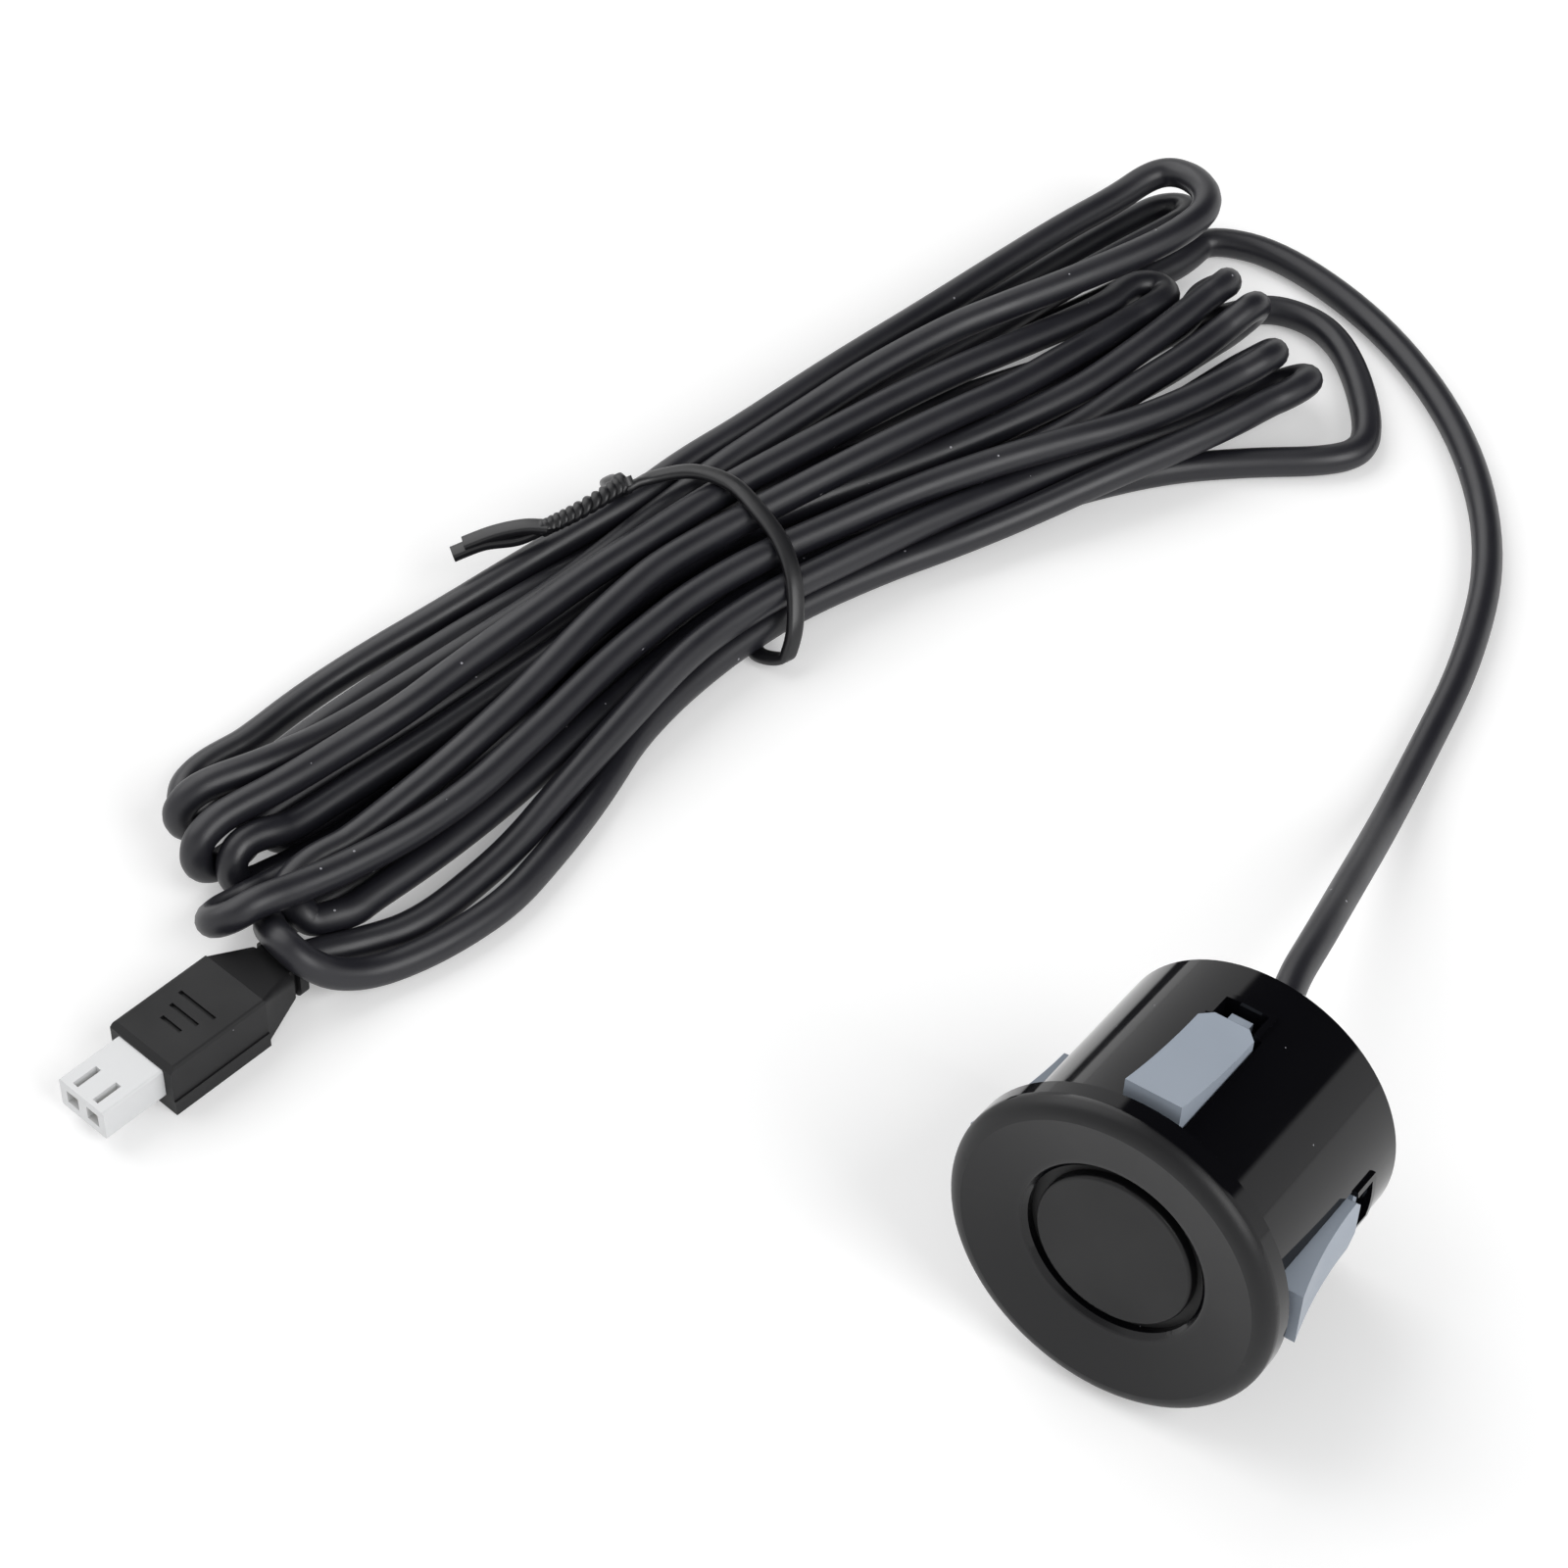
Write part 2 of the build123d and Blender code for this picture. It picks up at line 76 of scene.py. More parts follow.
# each run of the hank, near end to far end: along, across, height; P runs lie on top, M in the middle, B below
RUNS = {
    "P1": [
        (-43.5, -7.6, 1.3), (-37.9, -9, 1.4), (-32, -9.5, 2), (-25, -9.4, 3), (-19.4, -9.3, 4),
        (-13, -8.8, 4.9), (-7.5, -8.8, 5.4), (-2.5, -10.1, 5.7), (3.4, -10.8, 5.8), (9.4, -11.9, 5.7),
        (15.4, -12.9, 5.6), (23.4, -14.1, 5.6), (31.4, -15.3, 5.6), (39.4, -16.4, 5.6), (45, -16.8, 5.6)
    ],
    "P2": [
        (-49.6, -1.6, 5.7), (-45.6, -1.2, 5.3), (-39.8, -1.8, 4.6), (-33.6, -2.5, 4.3), (-28.3, -3.1, 4.2),
        (-19.7, -4.5, 4.4), (-14.7, -5.3, 4.8), (-10, -6.1, 5.2), (-6.4, -6.9, 5.6), (-0.6, -7.8, 6.1),
        (3.3, -8.5, 6.2), (9.2, -9.3, 6.4), (14.9, -9.9, 6.8), (22.7, -10.1, 7.2), (26.5, -9.5, 7.6),
        (34.2, -8.4, 8), (42.2, -8, 8)
    ],
    "P3": [
        (-49.8, 1.9, 5.8), (-45.6, 1.6, 5.7), (-40.4, 0.9, 5.8), (-34.5, 0.3, 6), (-29.4, -0.8, 6.2),
        (-21.5, -2.2, 6.5), (-15.8, -3.3, 6.7), (-10, -4, 6.8), (-3, -5.1, 6.8), (7, -5.7, 6.8),
        (15, -6.3, 6.6), (21.2, -6.5, 6.4), (27.6, -6.5, 6), (32, -6.8, 5.4), (37, -7.3, 4.8)
    ],
    "P4": [
        (-43.9, 7.9, 4.2), (-38, 7, 5), (-34.2, 6.2, 5.4), (-30.5, 5.3, 5.8), (-26.6, 4.1, 6),
        (-22.8, 2.8, 6.3), (-18.9, 1.3, 6.5), (-14.9, 0, 6.6), (-10.5, -1.2, 6.7), (-3, -1.8, 6.6),
        (9.1, -1.7, 6.6), (17.2, -2, 6.4), (23.3, -2.4, 6.2), (29.5, -3.3, 5.8), (34, -4.1, 5.2),
        (37.5, -4.8, 4.7)
    ],
    "P5": [
        (-50.3, 10.9, 5.9), (-46.1, 10.9, 5.5), (-40, 10.5, 5.2), (-34, 9.4, 5.2), (-30, 8.1, 5.3),
        (-26.2, 6.9, 5.4), (-22.3, 5.5, 5.5), (-18.4, 4.2, 5.6), (-14.4, 3.2, 5.7), (-10.5, 2.3, 5.8),
        (-4.5, 1.7, 5.8), (3, 1.9, 5.7), (10, 2.2, 5.7), (16, 3.1, 5.6), (20, 4, 5.6), (24, 4.8, 5.6),
        (28, 5.5, 5.4), (34, 5.9, 5.3), (39.5, 5.6, 5.1)
    ],
    "P6": [
        (-42.6, 15.3, 1.3), (-36, 13.9, 1.6), (-32.2, 12.9, 2), (-28.6, 11.6, 2.6), (-24.9, 10.3, 3.1),
        (-21.2, 8.9, 3.6), (-17.4, 7.3, 4), (-13.6, 6, 4.3), (-9.7, 5.2, 4.5), (-4.2, 4.6, 4.6),
        (2, 4.5, 4.5), (10.5, 4.4, 4.1), (17, 4.5, 3.6), (25, 5.2, 3.2), (33, 5.9, 2.8), (39.5, 6.2, 2.5)
    ],
    "P7": [
        (-43.8, 17.8, 1.3), (-39.8, 17.6, 1.3), (-35.8, 16.9, 1.3), (-31.8, 15.1, 1.3), (-27.8, 13.1, 1.3),
        (-23.8, 10.9, 1.4), (-20, 8.7, 1.5), (-15.9, 7.1, 1.6), (-12, 5.9, 1.8), (-8.2, 5.2, 2),
        (-2.3, 4.6, 2.2), (5.6, 4.7, 2.2), (11.5, 5.5, 2.4), (17.4, 6.4, 2.6), (25, 7.8, 3.6),
        (31, 8.5, 3.9), (37, 8.8, 4), (40.6, 8.6, 4)
    ],
    "M1": [
        (-47, -1.8, 3.2), (-40, -3.4, 3.2), (-30, -5.5, 3.2), (-20, -6.6, 3.3), (-10, -7.8, 3.7),
        (-3.2, -8.9, 3.9), (5, -9.2, 4), (15, -9.9, 4), (26, -11, 3.9), (36, -12.4, 3.5), (44, -13.2, 3.2)
    ],
    "M2": [
        (-47.5, 1.9, 3.3), (-42, 0.6, 3.3), (-36, -0.2, 3.3), (-29, -1, 3.3), (-18, -2.2, 3.6),
        (-10, -4.2, 4), (-3.2, -5.8, 4.4), (8, -4.8, 4.2), (18, -3.7, 3.6), (28, -3.1, 3), (36, -3.6, 3),
        (42, -4.3, 3.2)
    ],
    "M3": [
        (-46.2, 3.6, 3.7), (-41.2, 2.9, 3.7), (-36.2, 2.2, 3.7), (-31, 1.2, 3.7), (-24, 0, 3.9),
        (-16, -1.4, 4.2), (-9, -2.6, 4.5), (-3.2, -3, 4.5), (5, -2.2, 4.4), (13, -0.9, 4.4),
        (20.2, -0.2, 4.6), (28, -0.2, 5), (31.9, -0.6, 5.2), (35.8, -1.2, 5.4), (39.7, -2, 5.5),
        (43, -2.8, 5.5)
    ],
    "B0": [
        (-43, -3.2, 1.2), (-36, -4.8, 1.2), (-28, -6.6, 1.2), (-20, -8.4, 1.3), (-13, -10.2, 1.5),
        (-7.5, -11.6, 1.9), (-2.5, -12.6, 2.2), (5, -12.4, 2), (14, -12.1, 1.5), (24, -11.8, 1.2),
        (32, -11.4, 1.2), (38, -11.1, 1.2), (45, -11.2, 1.2)
    ],
    "B1": [
        (-41, -0.4, 1.2), (-34, -1.8, 1.2), (-26, -3.8, 1.2), (-17, -6.8, 1.3), (-10, -9, 1.8),
        (-3.2, -10.6, 2.2), (5, -11.2, 3.4), (13, -12.8, 3.9), (22, -14.2, 3.2), (32, -15.3, 2.4),
        (42, -16.4, 2.4)
    ],
    "B2": [
        (-41, 2.1, 1.2), (-34, 0.9, 1.2), (-26, -1.2, 1.2), (-18, -3.6, 1.2), (-10, -5.8, 1.8),
        (-3.2, -7.2, 2.2), (6, -7.4, 2), (15, -8.7, 1.4), (25, -7.9, 1.2), (35, -6, 1.2), (43, -4.6, 1.2)
    ],
    "B3": [
        (-47, 4.6, 1.2), (-42, 4.6, 1.2), (-35, 3.4, 1.2), (-26, 1.3, 1.2), (-18, -1, 1.2),
        (-10, -3.4, 1.8), (-3.2, -4.8, 2.2), (6, -4.2, 2.1), (16, -2.6, 1.6), (26, -1.2, 1.2),
        (36, -0.8, 1.5), (42.5, -1, 2.4)
    ],
    "B4": [
        (-50, 7.4, 3.2), (-43, 6.6, 2.9), (-35, 5.8, 2), (-26, 3.8, 1.4), (-18, 1.4, 1.3), (-10, -1, 1.8),
        (-3.2, -2.4, 2.2), (6, -1.6, 2.4), (14, 0.2, 2.8), (22, 2, 3.3), (27, 2.2, 4), (32, 1.7, 4.5),
        (38.3, 1.1, 4.6), (42.5, 0.3, 4.7)
    ],
    "B5": [
        (-48, 9.4, 1.3), (-43, 9.2, 1.2), (-35, 8.2, 1.2), (-26, 6, 1.2), (-18, 3.6, 1.3), (-10, 1.2, 1.8),
        (-3.2, 0, 2.2), (6, 0.6, 2), (16, 1.8, 1.3), (26, 3, 1.2), (34, 3.4, 2), (40.5, 3.2, 2.7)
    ],
    "B6": [
        (-44.6, 12, 2.6), (-40.6, 11.4, 2.6), (-36.6, 10.6, 2.6), (-32.6, 9.6, 2.6), (-28.6, 8.4, 2.6),
        (-24.6, 7.2, 2.7), (-17, 5.2, 2.8), (-10, 3.4, 2.9), (-3.2, 2.3, 3), (6, 2.5, 2.6), (16, 3.6, 1.6),
        (24, 5.4, 1.2), (31, 7.6, 1.2), (37, 10.8, 1.2)
    ],
}
# the folds that join two runs at the near end, in the order of their key
NEAR_FOLDS = {
    ("B0", "P1"): [
        (-44.5, -2.6, 1.2), (-46, -2.1, 1.2), (-47.6, -1.8, 1.2), (-49.2, -2.1, 1.2), (-50.4, -3.3, 1.2),
        (-50.6, -4.9, 1.2), (-49.7, -6.3, 1.2), (-48.3, -7.1, 1.2), (-46.7, -7.4, 1.3), (-45.1, -7.5, 1.3)
    ],
    ("P2", "M1"): [
        (-51.4, -1.7, 5.5), (-52.6, -1.8, 4.2), (-52.1, -1.7, 2.5), (-50.3, -1.6, 2.1), (-48.6, -1.6, 2.6)
    ],
    ("B1", "B2"): [
        (-42.7, -0.6, 1.2), (-44.4, -0.7, 1.2), (-46, -0.2, 1.2), (-46.9, 1.4, 1.2), (-46, 2.9, 1.2),
        (-44.3, 3.2, 1.2), (-42.6, 2.7, 1.2)
    ],
    ("B6", "P4"): [
        (-46.2, 12.4, 2.5), (-47.9, 12.5, 2.5), (-49.4, 11.9, 2.6), (-50.4, 10.6, 3), (-50.1, 9, 3.5),
        (-48.7, 8.1, 3.9), (-47.1, 7.8, 4), (-45.5, 7.8, 4.1)
    ],
    ("P3", "M2"): [
        (-51.5, 2.1, 5.8), (-53.2, 2.4, 5.2), (-53.6, 2.8, 3.5), (-52.4, 2.9, 2.2), (-50.6, 2.7, 2.2),
        (-49, 2.3, 2.7)
    ],
    ("M3", "B3"): [
        (-47.7, 3.6, 4.2), (-49.2, 3.7, 4.7), (-50.8, 3.9, 4.7), (-51.9, 4.4, 3.6), (-51.6, 4.8, 2.1),
        (-50.2, 4.9, 1.3), (-48.6, 4.8, 1.2)
    ],
    ("B4", "P5"): [
        (-51.6, 7.4, 3.1), (-53.1, 7.4, 3.1), (-54.7, 7.7, 3.4), (-55.8, 8.6, 4.1), (-55.9, 9.8, 5.1),
        (-54.9, 10.7, 5.9), (-53.4, 11.1, 6.2), (-51.8, 11.1, 6.1)
    ],
    ("B5", "P7"): [
        (-49.6, 9.7, 1.9), (-51.6, 10.4, 3.3), (-52.8, 12.2, 4.9), (-53, 14.6, 5.2), (-52.4, 16, 4.4),
        (-50.6, 16.9, 2.6), (-47.6, 17.4, 1.4)
    ],
}
# the folds that join two runs at the far end
FAR_FOLDS = {
    ("P1", "P2"): [
        (48.4, -17.1, 6.1), (50.2, -16.4, 6.4), (50.8, -14.2, 6.9), (50.2, -11.6, 7.4), (48.6, -9.6, 7.8),
        (46.2, -8.5, 8)
    ],
    ("M1", "B1"): [
        (48, -13.4, 3.2), (50.6, -13.8, 3.1), (51.2, -15.4, 2.8), (49.6, -16.8, 2.5), (46.6, -16.8, 2.4)
    ],
    ("B2", "B6"): [
        (47, -3.8, 1.2), (50.2, -2.8, 1.2), (52.1, 0.5, 1.2), (52.1, 4, 1.2), (50.5, 8.2, 1.2),
        (47.8, 12.8, 1.2), (45.4, 15, 1.2), (42.4, 14.4, 1.2)
    ],
    ("P4", "P3"): [
        (39.2, -4.7, 4.5), (40.9, -4.8, 4.2), (42.3, -6, 4.1), (42, -7.7, 4.2), (40.3, -8.4, 4.4),
        (38.6, -8, 4.6)
    ],
    ("M2", "M3"): [
        (43.6, -4.8, 2.9), (45.4, -5.1, 2.8), (46.7, -4.6, 3.9), (46.4, -3.7, 5.3), (44.7, -3, 5.7)
    ],
    ("B3", "B4"): [
        (44.1, -1.3, 2.2), (45.7, -1.6, 2.2), (47.1, -1.3, 3.2), (47, -0.6, 4.6), (45.7, 0, 5.4),
        (44, 0.2, 5.1)
    ],
    ("P5", "B5"): [
        (41, 5.7, 5.3), (42.6, 5.7, 5.5), (44.1, 5.2, 5.1), (44.5, 4.1, 4.1), (43.6, 3.3, 3.1),
        (42, 3.1, 2.8)
    ],
    ("P7", "P6"): [
        (42.3, 8.8, 4.1), (44, 8.7, 4.1), (45.5, 8, 3.6), (45.8, 6.6, 2.6), (44.5, 5.6, 1.9),
        (42.8, 5.5, 1.9), (41.1, 5.9, 2.2)
    ],
}
# the runs in the order in which the cable goes through them
ORDER = [
    "B0", "P1", "P2", "M1", "B1", "B2", "B6", "P4", "P3", "M2", "M3", "B3", "B4", "P5", "B5", "P7", "P6",
]
# from the last run into the plug's tail
TAIL = [(-47, 14, 1.4), (-50.5, 13.4, 2), (-52.7, 13.8, 2.3), (-57.06, 14.7, 2.3)]


def on_table(points):
    """Hank coordinates to the part's frame: the hank's middle plus along and across times their directions."""
    p = np.asarray(points, float)
    flat = HANK_AT + p[:, :1] * ALONG + p[:, 1:2] * ACROSS
    return np.column_stack([flat, p[:, 2]])


def hank_points():
    """The runs and folds one after another: odd runs are walked towards the far end, even ones back."""
    points = []
    for i, name in enumerate(ORDER):
        run = RUNS[name]
        points += run if i % 2 else run[::-1]
        if i + 1 < len(ORDER):
            folds = FAR_FOLDS if i % 2 else NEAR_FOLDS
            pair = (name, ORDER[i + 1])
            points += folds[pair] if pair in folds else folds[pair[::-1]][::-1]
    return points + TAIL


def pressed_apart(points, first, last, apart=2.42, rounds=60, share=0.3, longest=0.25, back=0.03, skip=4):
    """Presses strands apart. Each point nearer than one cable diameter to another stretch moves away from it by
    a share of the overlap, no longer a step than the longest, and the stretch moves the other way. Then it
    goes a little of the way back to where it was drawn, and never below the table. The nearest stretches along
    the cable don't count, and points before the first and from the last on stay where they are."""
    start = points.copy()
    points = points.copy()
    index = np.arange(len(points))
    beside = np.abs(index[:, None] - index[None, :-1] - 0.5) < skip
    for _ in range(rounds):
        a = points[:-1]
        run = points[1:] - a
        to_a = points[:, None] - a[None]
        t = np.clip((to_a * run).sum(2) / np.maximum((run ** 2).sum(1), 1e-9), 0, 1)
        gap = to_a - t[..., None] * run[None]
        far = np.sqrt((gap ** 2).sum(2))
        far[beside] = np.inf
        push = gap * (np.clip(apart - far, 0, None) / np.maximum(far, 0.05))[..., None]
        move = push.sum(1)
        move[:-1] -= (push * (1 - t)[..., None]).sum(0)
        move[1:] -= (push * t[..., None]).sum(0)
        move *= share
        size = np.sqrt((move ** 2).sum(1))
        move *= (np.minimum(size, longest) / np.maximum(size, 1e-9))[:, None]
        move[:first] = 0
        move[last:] = 0
        points += move
        points[first:last] += back * (start - points)[first:last]
        points[:, 2] = np.maximum(points[:, 2], CABLE_D / 2)
    return points


lead_points = np.array(LEAD, float)
route = np.vstack([lead_points, on_table(ENTRY + hank_points())])
route = pressed_apart(route, len(lead_points) + 1, len(route) - 2)

curve = bpy.data.curves.new("cable", "CURVE")
curve.dimensions = "3D"
spline = curve.splines.new("NURBS")
spline.points.add(len(route) - 1)
spline.points.foreach_set("co", np.column_stack([route * MM, np.ones(len(route))]).ravel())
spline.order_u = 3
spline.use_endpoint_u = True
curve.resolution_u = 8
curve.render_resolution_u = 8
# the cable's radius is kept in the points, so that the curve's own box is as tight as the cable
spline.points.foreach_set("radius", np.full(len(route), CABLE_D / 2 * MM))
curve.bevel_depth = 1.0
curve.bevel_resolution = 6
curve.use_fill_caps = True
cable = bpy.data.objects.new("cable", curve)
bpy.context.scene.collection.objects.link(cable)
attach(cable, "root")
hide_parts("lead_cable", "cable_hank", "plug_cable")


# twist tie: a plastic-covered wire round the waist, twisted together on top, with two cut ends
# the ring that it makes round the hank, in hank coordinates like all of the tie
TIE_LOOP = [
    (-9.0, -8.8, 7.8), (-6.6, -8.3, 8.1), (-3.8, -6.8, 8.4), (-2.2, -4.0, 8.45), (-2.0, -0.5, 8.1),
    (-2.1, 2.6, 7.3), (-2.8, 5.2, 6.0), (-4.0, 7.2, 4.0), (-5.0, 8.0, 2.2), (-5.7, 7.9, 1.3), (-6.6, 5.9, 0.7),
    (-5.4, 3.4, 0.45), (-4.0, -1.0, 0.45), (-3.6, -6.0, 0.45), (-4.4, -11.0, 0.5), (-5.6, -13.2, 1.4),
    (-7.0, -13.4, 3.4), (-8.2, -12.1, 5.6), (-8.9, -10.6, 7.2),
]
TWIST_LINE = [(-8.7, -9.0, 8.1), (-11.4, -8.6, 8.1), (-13.9, -8.6, 7.8), (-16.2, -9.0, 7.3)]
TIE_ENDS = [
    [(-15.8, -8.7, 7.5), (-17.2, -9.9, 7.4), (-19.2, -11.1, 6.9), (-21.4, -12.0, 6.2)],
    [(-15.8, -9.3, 7.2), (-17.8, -10.0, 6.5), (-20.1, -11.3, 6.2), (-22.4, -12.1, 5.6)],
]
# the wire's section, side to side and thickness, with the power of its superellipse: the ring stands on its
# edge, the twisted strands are squeezed, and the cut ends lie flat
RING = {"wide": 0.8, "thick": 1.35, "power": 3}
STRAND = {"wide": 0.8, "thick": 0.65, "power": 2.6}
CUT_END = {"wide": 1.35, "thick": 0.75, "power": 4}


def smooth_line(points, per, closed=False):
    """Catmull-Rom curve through the points: each piece is the sum of four neighbouring points with the weights
    (-t^3+2t^2-t)/2, (3t^3-5t^2+2)/2, (-3t^3+4t^2+t)/2 and (t^3-t^2)/2. An open line gets its ends twice."""
    p = np.asarray(points, float)
    p = np.vstack([p[-1:], p, p[:2]]) if closed else np.vstack([p[:1], p, p[-1:]])
    t = np.linspace(0, 1, per, endpoint=False)
    weights = np.column_stack([
        -t ** 3 + 2 * t ** 2 - t, 3 * t ** 3 - 5 * t ** 2 + 2, -3 * t ** 3 + 4 * t ** 2 + t, t ** 3 - t ** 2])
    pieces = np.stack([p[i:len(p) - 3 + i] for i in range(4)], 1)
    line = np.einsum("tk,pkd->ptd", weights / 2, pieces).reshape(-1, 3)
    return line if closed else np.vstack([line, p[-1:]])


def section_frames(line, toward, closed=False):
    """Unit vectors across a line: side = tangent x toward, lift = side x tangent."""
    ahead = np.roll(line, -1, 0) - np.roll(line, 1, 0) if closed else np.gradient(line, axis=0)
    ahead /= np.linalg.norm(ahead, axis=1)[:, None]
    side = np.cross(ahead, toward)
    side /= np.linalg.norm(side, axis=1)[:, None]
    return side, np.cross(side, ahead)


def carried(line, toward, wide, thick, power, closed=False, around=16):
    """A rounded strip carried along a line. Its section is the superellipse
    |u / (wide/2)|^power + |v / (thick/2)|^power = 1, set on the line's side and lift vectors. Open ends are
    closed by a fan round their middle."""
    side, lift = section_frames(line, toward, closed)
    angle = np.linspace(0, 2 * np.pi, around, endpoint=False)
    u = wide / 2 * np.sign(np.cos(angle)) * np.abs(np.cos(angle)) ** (2 / power)
    v = thick / 2 * np.sign(np.sin(angle)) * np.abs(np.sin(angle)) ** (2 / power)
    rings = line[:, None] + side[:, None] * u[None, :, None] + lift[:, None] * v[None, :, None]
    count = len(line)
    i, j = np.meshgrid(np.arange(count if closed else count - 1), np.arange(around), indexing="ij")
    k, m = (i + 1) % count, (j + 1) % around
    quads = np.stack([i * around + j, k * around + j, k * around + m, i * around + m], 2).reshape(-1, 4)
    if closed:
        return rings.reshape(-1, 3), [quads]
    verts = np.vstack([rings.reshape(-1, 3), line[:1], line[-1:]])
    ring = np.arange(around)
    after = np.roll(ring, -1)
    last = (count - 1) * around
    start_fan = np.column_stack([ring, after, np.full(around, len(verts) - 2)])
    end_fan = np.column_stack([after + last, ring + last, np.full(around, len(verts) - 1)])
    return verts, [quads, start_fan, end_fan]


def wound(axis, phase):
    """One strand's middle line: the axis plus reach * (side cos(turn) + lift sin(turn)). The turn makes 6.5
    rounds with a slow waver, and the reach shrinks from 0.84 mm at the knot to 0.34 mm."""
    side, lift = section_frames(axis, upward)
    share = np.linspace(0, 1, len(axis))[:, None]
    turn = 2 * np.pi * (0.3 + 6.5 * share + 0.3 * np.sin(7 * share))
    reach = 0.34 + 0.5 * np.exp(-12 * share)
    return axis + reach * (side * np.cos(turn + phase) + lift * np.sin(turn + phase))


hank_way = np.array([ALONG[0], ALONG[1], 0.0])
upward = np.array([0.0, 0.0, 1.0])
twist_axis = on_table(smooth_line(TWIST_LINE, 24))
parts = [carried(on_table(smooth_line(TIE_LOOP, 10, closed=True)), hank_way, **RING, closed=True)]
parts += [carried(wound(twist_axis, phase), upward, **STRAND) for phase in (0, np.pi)]
parts += [carried(on_table(smooth_line(line, 10)), upward, **CUT_END) for line in TIE_ENDS]

# the five parts in one mesh, whose rims at the cut ends stay sharp
verts, faces, base = [], [], 0
for part_verts, blocks in parts:
    verts.append(part_verts * MM)
    for block in blocks:
        faces += (block + base).tolist()
    base += len(part_verts)
tie_mesh = bpy.data.meshes.new("wire_tie")
tie_mesh.from_pydata(np.vstack(verts).tolist(), [], faces)
tie_mesh.update()
tie_mesh.shade_smooth()
tie_mesh.set_sharp_from_angle(angle=math.radians(50))
tie = bpy.data.objects.new("wire_tie", tie_mesh)
bpy.context.scene.collection.objects.link(tie)
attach(tie, "root")
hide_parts("twist_tie")


# finishes
def linear(code):
    """sRGB hex to linear colour: c/12.92 up to 0.04045, else ((c+0.055)/1.055)^2.4."""
    c = np.array([int(code[i:i + 2], 16) / 255 for i in (1, 3, 5)])
    c = np.where(c <= 0.04045, c / 12.92, ((c + 0.055) / 1.055) ** 2.4)
    return (*c.tolist(), 1.0)


def add(tree, kind, settings, inputs):
    """Adds a node, sets its attributes, and fills or links its inputs by name or number."""
    node = tree.nodes.new(kind)
    for key, value in settings.items():
        setattr(node, key, value)
    for key, value in inputs.items():
        if isinstance(value, bpy.types.NodeSocket):
            tree.links.new(value, node.inputs[key])
        else:
            node.inputs[key].default_value = value
    return node


# the sensor's face: its centre and the way in to the barrel
FACE_AT = (0.0, -0.0097011, 0.0129085)
FACE_IN = (0.0, 0.993299, -0.115573)
# the textured part of the face ends between these depths behind it, in mm
SATIN_DEPTHS = (0.9, 1.2)
# size of the slow patches in roughness and shade, and distance between specks of dust, in mm
PATCH = 5.0
DUST_APART = 2.4
DUST = "#9a9aa0"


def finish(name, colour, roughness, grain, depth, uneven=0.05, ior=1.5, metallic=0.0, fleck=0.0, shade=0.12,
           face_roughness=None):
    """A moulded or coated finish. Noise of the grain's size gives a bump of that depth, both in mm, and a
    broad noise gives patches that differ in roughness by uneven and in colour by shade. Fleck is the radius in
    mm of the dust that lies on it. With a face roughness the first millimetre behind the sensor's face has that
    one, as the mould is textured there."""
    material = bpy.data.materials.new(name)
    material.use_nodes = True
    tree = material.node_tree
    shader = tree.nodes["Principled BSDF"]
    shader.inputs["IOR"].default_value = ior
    shader.inputs["Metallic"].default_value = metallic
    where = tree.nodes.new("ShaderNodeTexCoord").outputs["Object"]
    fine = add(tree, "ShaderNodeTexNoise", {}, {"Vector": where, "Scale": 1 / (grain * MM), "Detail": 3.0})
    broad = add(tree, "ShaderNodeTexNoise", {}, {"Vector": where, "Scale": 1 / (PATCH * MM), "Detail": 2.0})
    bump = add(tree, "ShaderNodeBump", {}, {"Height": fine.outputs["Fac"], "Distance": depth * MM})
    rough = add(tree, "ShaderNodeMapRange", {}, {
        "Value": broad.outputs["Fac"], "From Min": 0.3, "From Max": 0.7,
        "To Min": roughness - uneven, "To Max": roughness + uneven})
    if face_roughness:
        inward = add(tree, "ShaderNodeVectorMath", {"operation": "SUBTRACT"}, {0: where, 1: FACE_AT})
        depth_in = add(tree, "ShaderNodeVectorMath", {"operation": "DOT_PRODUCT"}, {
            0: inward.outputs[0], 1: FACE_IN})
        satin = add(tree, "ShaderNodeMapRange", {}, {
            "Value": depth_in.outputs["Value"],
            "From Min": SATIN_DEPTHS[0] * MM, "From Max": SATIN_DEPTHS[1] * MM,
            "To Min": face_roughness - roughness, "To Max": 0.0})
        rough = add(tree, "ShaderNodeMath", {"operation": "ADD"}, {0: rough.outputs[0], 1: satin.outputs[0]})
    dark, light = ([c * k for c in linear(colour)[:3]] + [1.0] for k in (1 - shade, 1 + shade))
    tint = add(tree, "ShaderNodeMix", {"data_type": "RGBA"}, {
        0: broad.outputs["Fac"], 6: dark, 7: light}).outputs[2]
    if fleck:
        cells = add(tree, "ShaderNodeTexVoronoi", {}, {"Vector": where, "Scale": 1 / (DUST_APART * MM)})
        specks = add(tree, "ShaderNodeMath", {"operation": "LESS_THAN"}, {
            0: cells.outputs["Distance"], 1: fleck / DUST_APART})
        tint = add(tree, "ShaderNodeMix", {"data_type": "RGBA"}, {
            0: specks.outputs[0], 6: tint, 7: linear(DUST)}).outputs[2]
    tree.links.new(tint, shader.inputs["Base Color"])
    tree.links.new(rough.outputs[0], shader.inputs["Roughness"])
    tree.links.new(bump.outputs[0], shader.inputs["Normal"])
    return material


# plasticised PVC jacket, extruded: satin black with broad soft highlights and a little dust
jacket_pvc = finish("extruded_pvc_satin", "#1a1a20", 0.4, 0.35, 0.006, ior=1.53, fleck=0.09)
